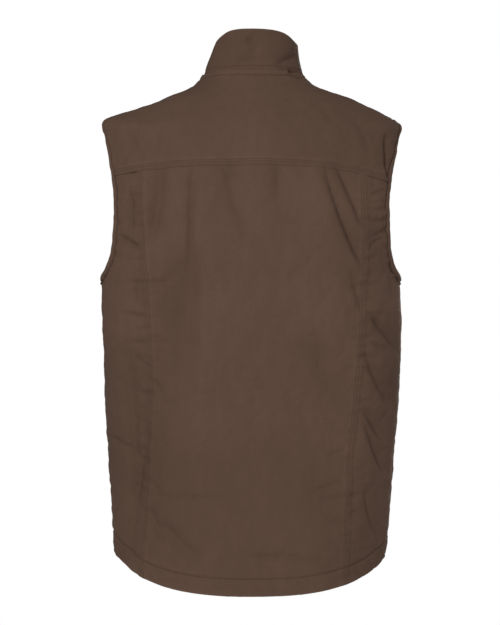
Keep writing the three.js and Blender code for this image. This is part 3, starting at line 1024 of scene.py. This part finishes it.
# %% [markdown]
# The yoke lies over all three panels below. A line drawn on one large back could stand for its seam, but a
# real lap has an edge that throws a shadow. Its upper edge is the neckline and the shoulder seams, so its
# rows start at the middle and fan out round the armholes.

# %% Yoke
YOKE_ROWS = stations((YOKE_SEAM, 1.2), (612, 2.4), (742, 1.2), (BODY_TOP, 0))
YOKE_SHARES = stations((-210, 1.6), (-196, 2.8), (196, 1.6), (210, 0)) / 210

yoke_side = side_end("back", YOKE_ROWS)
yoke_angle = yoke_side[0][:, None] * YOKE_SHARES
yoke_up = YOKE_ROWS[:, None] + (yoke_side[1] - YOKE_ROWS)[:, None] * np.abs(YOKE_SHARES)
body_panel("yoke", yoke_angle, yoke_up, lap=YOKE_LAP, lapped_edges=("bottom",), rows={"top": NECK_ROW})

# %% [markdown]
# The fronts are hidden in the photograph, but the vest is seen from all sides. They are plain panels from
# the side seams to the zip, with the hem turned up like the back's and one row of stitching along the zip.

# %% Fronts
FRONT_ROWS = stations((0, 1.6), (36, 3.2), (745, 1.6), (BODY_TOP, 0))
FRONT_SHARES = stations((0, 3.2), (206, 1.2), (220, 0)) / 220

front_side = side_end("front", FRONT_ROWS)
left_front = (2 * math.pi - front_side[0], front_side[1])
right_rows = {"bottom": HEM_DEPTH, "right": ZIP_ROW}
left_rows = {"bottom": HEM_DEPTH, "left": ZIP_ROW}
right_edge = front_edge("right", FRONT_ROWS)
left_edge = front_edge("left", FRONT_ROWS)
right_cut = spread(front_side, right_edge, FRONT_SHARES)
left_cut = spread(left_edge, left_front, 1 - FRONT_SHARES[::-1])
body_panel("front_right", *right_cut, lap=0, rows=right_rows)
body_panel("front_left", *left_cut, lap=0, rows=left_rows)

# %% [markdown]
# ## Collar and armhole bands
#
# The stand collar is a band of canvas folded along its top edge and sewn into the neckline, so it is
# thicker than the panels, and its lower edge is tucked under theirs. It could be a tube with a wall; as one
# more grid of cloth it gets its creases and its row of stitching from the same helpers as the panels.

# %% Collar
COLLAR_WALL = 3.0
COLLAR_ROW = 5
COLLAR_TUCK = 5
COLLAR_GROOVE = 0.5
COLLAR_SWELL = 2
COLLAR_WAVES = (30, 5.5)
COLLAR_FADE = 4
COLLAR_PAINTED_SHADE = 1.2
COLLAR_ROWS = stations((-COLLAR_TUCK, 1.2), (10, 1.8), (COLLAR_TOP, 0))
COLLAR_SHARES = np.linspace(0, 1, 190)

left_edge = angle_at(COLLAR, COLLAR_ROWS, -ZIP_OPENING / 2, on_front=True) - 2 * math.pi
right_edge = angle_at(COLLAR, COLLAR_ROWS, ZIP_OPENING / 2, on_front=True)
collar_angle, collar_up = spread((left_edge, COLLAR_ROWS), (right_edge, COLLAR_ROWS), COLLAR_SHARES)
collar_smooth = form_point(COLLAR, collar_angle, collar_up)
collar_distances = edge_distances(collar_smooth)
collar_line = collar_distances["bottom"] - COLLAR_TUCK - COLLAR_ROW
collar_back = np.clip(np.cos(collar_angle) * COLLAR_FADE, 0, 1)
collar_lift = (
    collar_back * fold_height(COLLAR_CREASES, collar_smooth[..., 0], collar_smooth[..., 2], CREASE_ROUND)
    + COLLAR_SWELL * slow_noise(collar_smooth, *COLLAR_WAVES)
    + groove_at(collar_line, COLLAR_GROOVE)
)
collar_points = collar_smooth + form_normal(COLLAR, collar_angle, collar_up) * collar_lift[..., None]
# Rubbed dye along the folded top edge, and the whole collar painted darker: painted shade.
collar_wear_and_painted_shade = edge_wear(collar_distances["top"]) - COLLAR_PAINTED_SHADE
collar_piece = lay_cloth("stand_collar", collar_points, COLLAR_WALL, None, collar_line, wear_and_painted_shading=collar_wear_and_painted_shade)
keep_cut("stand_collar", collar_piece, collar_points, collar_smooth)

# %% [markdown]
# Each armhole edge is turned under and stitched, which makes a narrow raised strip that rolls a little. A
# curve with a round section could follow the armhole, but a strip of rings between the rim and the panels'
# edge takes part in their folds, so the two stay together.

# %% Armhole bands
BAND_WALL = 3.0
BAND_ROW = 12
BAND_GROOVE = {"left": 1.8, "right": 3.2}
BAND_GROOVE_WIDTH = 1.6
BAND_ROLL = 1.5
ROLL_LEAN = 0.8
BAND_SINK = 0.5
SINK_POWER = 4
RIM_CALM = 0.3
BAND_LINE = 0.5
BAND_PAINTED_SHADOW = 3.0
BAND_STATIONS = 150
BAND_SHARES = np.array([0, 0.12, 0.28, 0.45, 0.58, 0.68, 0.76, 0.84, 0.92, 1.0])

way = np.linspace(0, math.pi, BAND_STATIONS)
for side, sign in (("left", -1), ("right", 1)):
    loops = []
    for margin in BAND_SHARES * BAND_WIDTH:
        oval = oval_around(margin)
        back_angle, back_up = arm_point(oval, "back", way)
        front_angle, front_up = arm_point(oval, "front", way[::-1])
        angle = np.concatenate([back_angle, front_angle[1:]])
        up = np.concatenate([back_up, front_up[1:]])
        loops.append((sign * angle[::sign], up[::sign]))
    angle = np.array([loop[0] for loop in loops])
    up = np.array([loop[1] for loop in loops])
    smooth = form_point(BODY, angle, up)
    line = (BAND_SHARES * BAND_WIDTH - BAND_ROW)[:, None] * np.ones_like(angle)
    rolled = BAND_ROLL * np.sin(BAND_SHARES**ROLL_LEAN * math.pi) - BAND_SINK * BAND_SHARES**SINK_POWER
    drawn = puckers((1 - BAND_SHARES[:, None]) * BAND_WIDTH, smooth, SIDE_PUCKERS)
    calm = RIM_CALM + (1 - RIM_CALM) * BAND_SHARES[:, None]
    lift = YOKE_LAP + calm * (back_folds(angle, smooth) + worn(smooth) + drawn) + rolled[:, None]
    lift = lift + groove_at(line, BAND_GROOVE[side], BAND_GROOVE_WIDTH)
    points = smooth + form_normal(BODY, angle, up) * lift[..., None]
    name = "armhole_edge_" + side
    # Rubbed dye along the rim, and a painted shadow along the groove of the stitching.
    wear_and_painted_shading = edge_wear(line + BAND_ROW) + groove_at(line, BAND_PAINTED_SHADOW, BAND_GROOVE_WIDTH)
    piece = lay_cloth(name, points, BAND_WALL, None, line * BAND_LINE, closed=True, wear_and_painted_shading=wear_and_painted_shading)
    keep_cut(name, piece, points, smooth)

# %% [markdown]
# ## Zip
#
# A moulded zip closes the front: a woven tape behind the two edges, with teeth that stand between them. The
# tape is one more strip of cloth laid on the form. The teeth are small blocks set left and right in turn.
# An array on a curve could repeat them, but placed one by one along the tape they need no modifier and turn
# with it at the neck.

# %% Zip tape
TAPE_WIDTH = 28
TAPE_WALL = 1.2
TAPE_SETBACK = 4.4
TAPE_COLUMNS = 9
TAPE_STEP = 3
BODY_STATIONS = stations((0, TAPE_STEP), (BODY_TOP, 0))
COLLAR_STATIONS = stations((TAPE_STEP, TAPE_STEP), (COLLAR_TOP, 0))

across = np.linspace(TAPE_WIDTH / 2, -TAPE_WIDTH / 2, TAPE_COLUMNS)
tape_rows = []
for rings, rows in ((BODY, BODY_STATIONS), (COLLAR, COLLAR_STATIONS)):
    for up in rows:
        heights = np.full(len(across), up)
        angle = angle_at(rings, heights, across, on_front=True)
        out = form_normal(rings, np.full(len(across), math.pi), heights)
        tape_rows.append(form_point(rings, angle, heights) - out * TAPE_SETBACK)
tape_points = np.array(tape_rows)
tape = lay_cloth("zip_tape", tape_points, TAPE_WALL)
tape.data.materials.append(zip_cloth)
print("tape", tape_points.shape[:2], "cells")

# %% Zip teeth
TOOTH_PITCH = 1.5
TOOTH = (4.4, 1.7, 1.2)
TOOTH_SHIFT = 1.3


def at_length(line, lengths, length):
    """The point at a length along a line of points."""
    return Vector([np.interp(length, lengths, line[:, axis]) for axis in range(3)])


def block_frame(centre, axes, sizes):
    """The matrix that turns a unit block into one of these sizes along these axes."""
    columns = [axis * size * MM for axis, size in zip(axes, sizes)]
    return Matrix.Translation(centre * MM) @ Matrix(columns).transposed().to_4x4()


def finished_piece(name, bm, material):
    """An object from the geometry made so far."""
    bmesh.ops.recalc_face_normals(bm, faces=bm.faces)
    mesh = bpy.data.meshes.new(name)
    bm.to_mesh(mesh)
    bm.free()
    mesh.materials.append(material)
    piece = bpy.data.objects.new(name, mesh)
    scene.collection.objects.link(piece)
    return piece


middle = tape_points[:, TAPE_COLUMNS // 2]
zip_lengths = along(tape_points, 0)[:, TAPE_COLUMNS // 2]
tooth_count = int(zip_lengths[-1] / TOOTH_PITCH) - 1
side = Vector((1, 0, 0))
bm = bmesh.new()
for i in range(tooth_count):
    length = (i + 1) * TOOTH_PITCH
    here = at_length(middle, zip_lengths, length)
    rise = (at_length(middle, zip_lengths, length + 1) - here).normalized()
    out = side.cross(rise) * -1
    centre = here + side * TOOTH_SHIFT * (1 if i % 2 else -1) + out * TOOTH[1] / 2
    bmesh.ops.create_cube(bm, size=1, matrix=block_frame(centre, (side, out, rise), TOOTH))
teeth = finished_piece("zip_teeth", bm, zip_plastic)
print("teeth:", tooth_count)

# %% [markdown]
# The slider stands at the top of the zip: a body that grips both rows of teeth, a bridge on it, and a flat
# pull with a hole that hangs from the bridge. All are blocks with rounded edges; the hole is the middle of
# the pull left out, so the pull is four bars.

# %% Zip slider
SLIDER_DROP = 9
SLIDER_ROUND = 0.7
SLIDER_PARTS = (
    # across, out and up from the slider's middle, then its sizes
    ((0, 1.6, 0), (10, 4.4, 11)),
    ((0, 4.6, 0.5), (3.2, 2.6, 7)),
    ((0, 6.0, -2.6), (8, 1.8, 2.6)),
    ((-2.7, 6.0, -9), (2.6, 1.8, 11)),
    ((2.7, 6.0, -9), (2.6, 1.8, 11)),
    ((0, 6.0, -18.5), (8, 1.8, 9)),
)

here = at_length(middle, zip_lengths, zip_lengths[-1] - SLIDER_DROP)
rise = (at_length(middle, zip_lengths, zip_lengths[-1]) - here).normalized()
out = side.cross(rise) * -1
bm = bmesh.new()
for offset, part_sizes in SLIDER_PARTS:
    centre = here + side * offset[0] + out * offset[1] + rise * offset[2]
    bmesh.ops.create_cube(bm, size=1, matrix=block_frame(centre, (side, out, rise), part_sizes))
bmesh.ops.bevel(
    bm,
    geom=bm.edges,
    offset=SLIDER_ROUND * MM,
    segments=3,
    profile=0.5,
    affect="EDGES",
    material=-1,
    clamp_overlap=True,
)
slider = finished_piece("zip_slider", bm, zip_plastic)
print("slider faces:", len(slider.data.polygons))

# %% [markdown]
# ## Stitching
#
# Thread is what holds a vest together, and on canvas it is thick enough to see. A line in the material
# could stand for it, but real stitches catch the light one by one. Each is a short rounded bar lying in its
# groove: a small sphere stretched along the row. The rows are taken from the finished panels, at their
# distances from the edges, so that they follow every fold.

# %% Sewing
STITCH = (0.62, 0.5, 2.5)
STITCH_PITCH = 3.1
STITCH_ROWS = {
    "back_centre": (("left", SEAM_ROWS), ("right", SEAM_ROWS), ("bottom", (HEM_DEPTH,))),
    "back_side_left": (("bottom", (HEM_DEPTH,)),),
    "back_side_right": (("bottom", (HEM_DEPTH,)),),
    "yoke": (("bottom", SEAM_ROWS), ("top", (NECK_ROW,))),
    "front_left": (("bottom", (HEM_DEPTH,)), ("left", (ZIP_ROW,))),
    "front_right": (("bottom", (HEM_DEPTH,)), ("right", (ZIP_ROW,))),
    "stand_collar": (("bottom", (COLLAR_TUCK + COLLAR_ROW,)),),
    "armhole_edge_left": (("bottom", (BAND_ROW,)),),
    "armhole_edge_right": (("bottom", (BAND_ROW,)),),
}


def from_edge(values, edge):
    """A grid turned so that each of its lines starts at one edge."""
    return {
        "left": values,
        "right": values[:, ::-1],
        "bottom": values.transpose(1, 0, 2),
        "top": values[::-1].transpose(1, 0, 2),
    }[edge]


def row_at(points, values, edge, distance):
    """The values of a grid along a row at a distance from one of its edges."""
    lengths = along(from_edge(points, edge), 1)
    lines = zip(from_edge(values, edge), lengths)
    return np.array([[np.interp(distance, length, line[:, k]) for k in range(3)] for line, length in lines])


def cloth_normals(points):
    normal = np.cross(np.gradient(points, axis=1), np.gradient(points, axis=0))
    return normal / np.linalg.norm(normal, axis=-1, keepdims=True)


bm = bmesh.new()
bmesh.ops.create_uvsphere(bm, u_segments=6, v_segments=4, radius=0.5)
for face in bm.faces:
    face.smooth = True
one_stitch = bpy.data.meshes.new("one_stitch")
bm.to_mesh(one_stitch)
bm.free()
stitch_shape = np.array([vertex.co for vertex in one_stitch.vertices])


def sew(bm, points, edge, distance):
    """Adds one row of stitches."""
    line = row_at(points, points, edge, distance)
    normals = row_at(points, cloth_normals(points), edge, distance)
    lengths = along(line[None], 1)[0]
    for length in np.arange(STITCH_PITCH, lengths[-1] - STITCH_PITCH, STITCH_PITCH):
        here = at_length(line, lengths, length)
        run = (at_length(line, lengths, length + 1) - here).normalized()
        aside = run.cross(at_length(normals, lengths, length)).normalized()
        matrix = np.array(block_frame(here, (aside, aside.cross(run), run), STITCH))
        placed = stitch_shape @ matrix[:3, :3].T + matrix[:3, 3]
        one_stitch.vertices.foreach_set("co", placed.ravel())
        bm.from_mesh(one_stitch)


stitches = {}
for name, rows in STITCH_ROWS.items():
    bm = bmesh.new()
    for edge, distances in rows:
        for distance in distances:
            sew(bm, grids[name]["points"], edge, distance)
    stitches[name] = finished_piece(name + "_stitches", bm, thread)
bpy.data.meshes.remove(one_stitch)
print("faces of stitching:", sum(len(piece.data.polygons) for piece in stitches.values()))

# %% [markdown]
# ## What each piece stands for
#
# Every piece rides on the one body of the vest. Each cut, and the zip's tape, stands for the solid of the
# same part.

# %% Ride and replace
STANDS_FOR = {
    "yoke": "back_yoke",
    "back_centre": "back_centre_panel",
    "back_side_left": "back_side_panel_left",
    "back_side_right": "back_side_panel_right",
    "front_left": "front_panel_left",
    "front_right": "front_panel_right",
    "stand_collar": "collar",
    "armhole_edge_left": "armhole_band_left",
    "armhole_edge_right": "armhole_band_right",
}


for name, node in STANDS_FOR.items():
    grid = grids[name]
    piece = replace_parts(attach(grid["piece"], "root"), node)
    if name.startswith("armhole"):
        continue
    length = along(grid["smooth"], 0)[-1].max() * MM
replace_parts(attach(tape, "root"), "front_zip")
for piece in (teeth, slider):
    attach(piece, "root")
for piece in stitches.values():
    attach(piece, "root")
